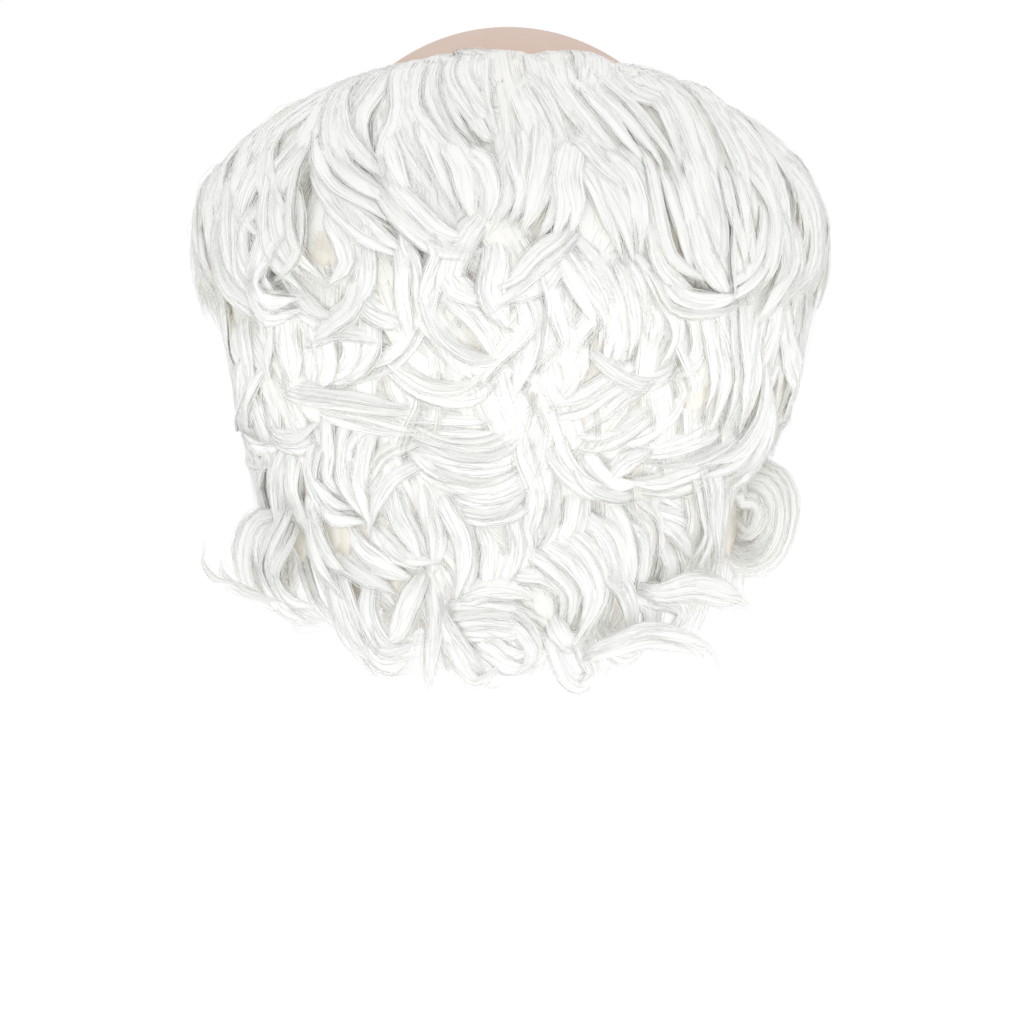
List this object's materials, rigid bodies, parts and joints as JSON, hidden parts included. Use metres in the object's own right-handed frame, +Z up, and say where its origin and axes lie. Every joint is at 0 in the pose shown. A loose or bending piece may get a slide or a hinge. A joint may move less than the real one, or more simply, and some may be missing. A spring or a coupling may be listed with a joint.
{
  "type": "curly wig with a bald crown",
  "caption": "Costume wig with a bare flesh-pink dome and overlapping rows of white curly locks round the back and sides, open below for the head.",
  "frame": {"origin": "inside of the top of the crown, where the wig sits on the head", "axes": "+Z up, +Y towards the wearer's face, +X to the wearer's right"},
  "size_m": [0.237, 0.2209, 0.2405],
  "materials": {
    "crown_latex": "matte flesh-pink latex",
    "base_net": "cream stitched net",
    "hair_fibre": "white synthetic hair, soft sheen"
  },
  "bodies": {
    "root": {"bald_crown": "crown_latex", "hair_base": "base_net", "hair_row_1": "hair_fibre", "hair_row_2": "hair_fibre", "hair_row_3": "hair_fibre", "hair_row_4": "hair_fibre", "hair_row_5": "hair_fibre"}
  },
  "joints": []
}
